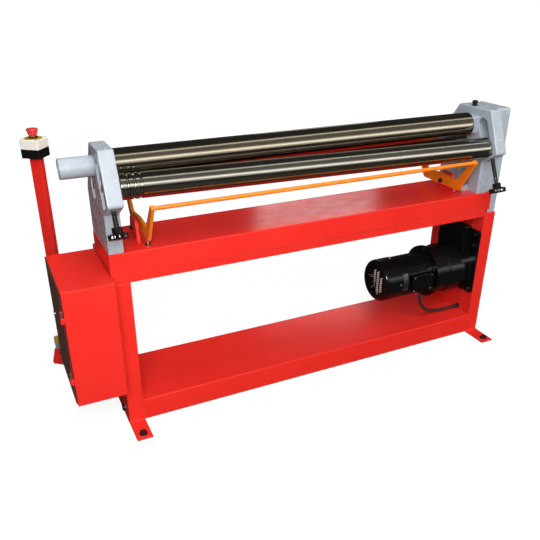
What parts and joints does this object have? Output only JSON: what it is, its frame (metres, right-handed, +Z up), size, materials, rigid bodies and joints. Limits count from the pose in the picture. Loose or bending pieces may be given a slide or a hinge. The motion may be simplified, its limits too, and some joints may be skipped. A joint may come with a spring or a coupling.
{
  "type": "plate rolling machine",
  "caption": "Motor-driven plate rolling machine with bending rolls between side housings on a bed and stand, a trip frame, a control cabinet and a foot pedal pedestal with stop button.",
  "frame": {"origin": "on the floor, at the middle of the footprint of the machine and its pedestal", "axes": "+X along the rolls towards the drive end, +Y from the operator's side to the rear, +Z up"},
  "size_m": [1.7152, 0.742, 0.97],
  "materials": {
    "red_paint": "glossy",
    "grey_paint": "satin",
    "dark_paint": "glossy",
    "roll_steel": "polished",
    "bright_steel": "machined",
    "bronze": "plain",
    "black_steel": "satin",
    "motor_black": "semi-gloss",
    "orange_paint": "satin",
    "black_plastic": "satin",
    "cable_rubber": "matt",
    "cream_plastic": "satin",
    "yellow_plastic": "satin",
    "red_plastic": "glossy",
    "control_plastic": "plain"
  },
  "bodies": {
    "frame": {"foot_plates": "red_paint", "leg_posts": "red_paint", "leg_panels": "red_paint", "top_rails": "red_paint", "shelf": "red_paint", "bed": "red_paint", "trip_ears": "red_paint", "cabinet_shell": "red_paint", "door_hinges": "red_paint", "pedal_base": "red_paint", "pedestal_post": "red_paint", "left_housing": "grey_paint", "right_housing": "grey_paint", "chain_case": "grey_paint", "drive_chain": "bright_steel", "upper_roll_bushes": "bronze", "foot_bolts": "black_steel", "lock_bolt": "black_steel", "trip_pivot_bolts": "black_steel", "motor_body": "motor_black", "fan_cover": "motor_black", "terminal_box": "motor_black", "gearbox_body": "motor_black", "gearbox_plate": "motor_black", "switch_base": "black_plastic", "cable_glands": "black_plastic", "estop_base": "black_plastic", "motor_cable": "cable_rubber", "estop_lid": "cream_plastic", "estop_ring": "yellow_plastic", "pedal_cap": "yellow_plastic", "control_gear": "control_plastic"},
    "upper_roll_set": {"upper_roll": "roll_steel", "roll_sprocket": "bright_steel"},
    "sleeve": {"upper_sleeve": "grey_paint"},
    "front_carriage": {"front_left_block": "bright_steel", "front_right_block": "bright_steel"},
    "front_roll_set": {"front_roll": "roll_steel"},
    "front_left_screw_set": {"front_left_screw": "black_steel", "front_left_knob": "black_plastic"},
    "front_right_screw_set": {"front_right_screw": "black_steel", "front_right_knob": "black_plastic"},
    "rear_carriage": {"rear_left_block": "bright_steel", "rear_right_block": "bright_steel"},
    "rear_roll_set": {"rear_roll": "roll_steel"},
    "rear_left_screw_set": {"rear_left_screw": "bright_steel"},
    "rear_right_screw_set": {"rear_right_screw": "bright_steel"},
    "trip_frame": {"trip_left_plate": "orange_paint", "trip_right_plate": "orange_paint", "trip_bars": "orange_paint"},
    "plunger": {"switch_plunger": "bright_steel"},
    "rotor": {"motor_rotor": "bright_steel", "motor_fan": "cream_plastic"},
    "output": {"output_shaft": "bright_steel", "output_sprocket": "bright_steel"},
    "door": {"cabinet_door": "dark_paint"},
    "treadle": {"pedal_treadle": "black_plastic"},
    "button": {"estop_button": "red_plastic"}
  },
  "joints": [
    {"name": "upper_roll_spin", "type": "hinge", "parent": "frame", "child": "upper_roll_set", "pos_m": [0.06861, -0.19163, 0.89], "axis": [1, 0, 0], "continuous": true},
    {"name": "sleeve_pull", "type": "slide", "parent": "frame", "child": "sleeve", "axis": [-1, 0, 0], "range_m": [0, 0.04]},
    {"name": "front_roll_set_height", "type": "slide", "parent": "frame", "child": "front_carriage", "axis": [0, 0.4226, 0.9063], "range_m": [-0.004, 0.0015]},
    {"name": "front_roll_spin", "type": "hinge", "parent": "front_carriage", "child": "front_roll_set", "pos_m": [0.06861, -0.26512, 0.8258], "axis": [0.9998, -0.0079, -0.0169], "continuous": true},
    {"name": "front_left_screw_turn", "type": "hinge", "parent": "front_carriage", "child": "front_left_screw_set", "pos_m": [-0.65589, -0.25943, 0.83802], "axis": [0, 0.4226, 0.9063], "range_deg": [-365, 140]},
    {"name": "front_right_screw_turn", "type": "hinge", "parent": "front_carriage", "child": "front_right_screw_set", "pos_m": [0.76811, -0.27063, 0.814], "axis": [0, 0.4226, 0.9063], "range_deg": [-365, 140]},
    {"name": "rear_roll_set_height", "type": "slide", "parent": "frame", "child": "rear_carriage", "axis": [0, 0.2756, 0.9613], "range_m": [-0.015, 0.015]},
    {"name": "rear_roll_spin", "type": "hinge", "parent": "rear_carriage", "child": "rear_roll_set", "pos_m": [0.06861, -0.13363, 0.815], "axis": [1, 0, 0], "continuous": true},
    {"name": "rear_left_screw_turn", "type": "hinge", "parent": "rear_carriage", "child": "rear_left_screw_set", "pos_m": [-0.65589, -0.13363, 0.815], "axis": [0, 0.2756, 0.9613], "range_deg": [-1360, 1360]},
    {"name": "rear_right_screw_turn", "type": "hinge", "parent": "rear_carriage", "child": "rear_right_screw_set", "pos_m": [0.76811, -0.13363, 0.815], "axis": [0, 0.2756, 0.9613], "range_deg": [-1360, 1360]},
    {"name": "trip_rock", "type": "hinge", "parent": "frame", "child": "trip_frame", "pos_m": [0.06861, -0.14863, 0.669], "axis": [1, 0, 0], "range_deg": [-1.5, 3], "stiffness_Nm_per_rad": 60},
    {"name": "switch_press", "type": "slide", "parent": "frame", "child": "plunger", "axis": [0, 0, -1], "range_m": [-0.0022, 0.0045]},
    {"name": "motor_spin", "type": "hinge", "parent": "frame", "child": "rotor", "pos_m": [0.06861, -0.13563, 0.277], "axis": [1, 0, 0], "continuous": true},
    {"name": "output_spin", "type": "hinge", "parent": "frame", "child": "output", "pos_m": [0.06861, -0.13563, 0.362], "axis": [1, 0, 0], "continuous": true},
    {"name": "door_swing", "type": "hinge", "parent": "frame", "child": "door", "pos_m": [-0.84589, -0.31463, 0.3655], "axis": [0, 0, 1], "range_deg": [0, 110]},
    {"name": "treadle_press", "type": "hinge", "parent": "frame", "child": "treadle", "pos_m": [-0.76297, 0.27298, 0.026], "axis": [0.6293, 0.7771, 0], "range_deg": [0, 8], "stiffness_Nm_per_rad": 6, "springref_deg": -17.19},
    {"name": "button_press", "type": "slide", "parent": "frame", "child": "button", "axis": [0, 0, -1], "range_m": [0, 0.004], "stiffness_N_per_m": 1500, "springref_m": -0.004}
  ],
  "couplings": [
    {"joint": "output_spin", "follows": "upper_roll_spin", "ratio": 1.5},
    {"joint": "motor_spin", "follows": "upper_roll_spin", "ratio": -4.5},
    {"joint": "front_left_screw_turn", "follows": "front_roll_set_height", "rad_per_m": 1570.8},
    {"joint": "front_right_screw_turn", "follows": "front_roll_set_height", "rad_per_m": 1570.8},
    {"joint": "rear_left_screw_turn", "follows": "rear_roll_set_height", "rad_per_m": 1570.8},
    {"joint": "rear_right_screw_turn", "follows": "rear_roll_set_height", "rad_per_m": 1570.8},
    {"joint": "switch_press", "follows": "trip_rock", "m_per_rad": 0.078}
  ]
}
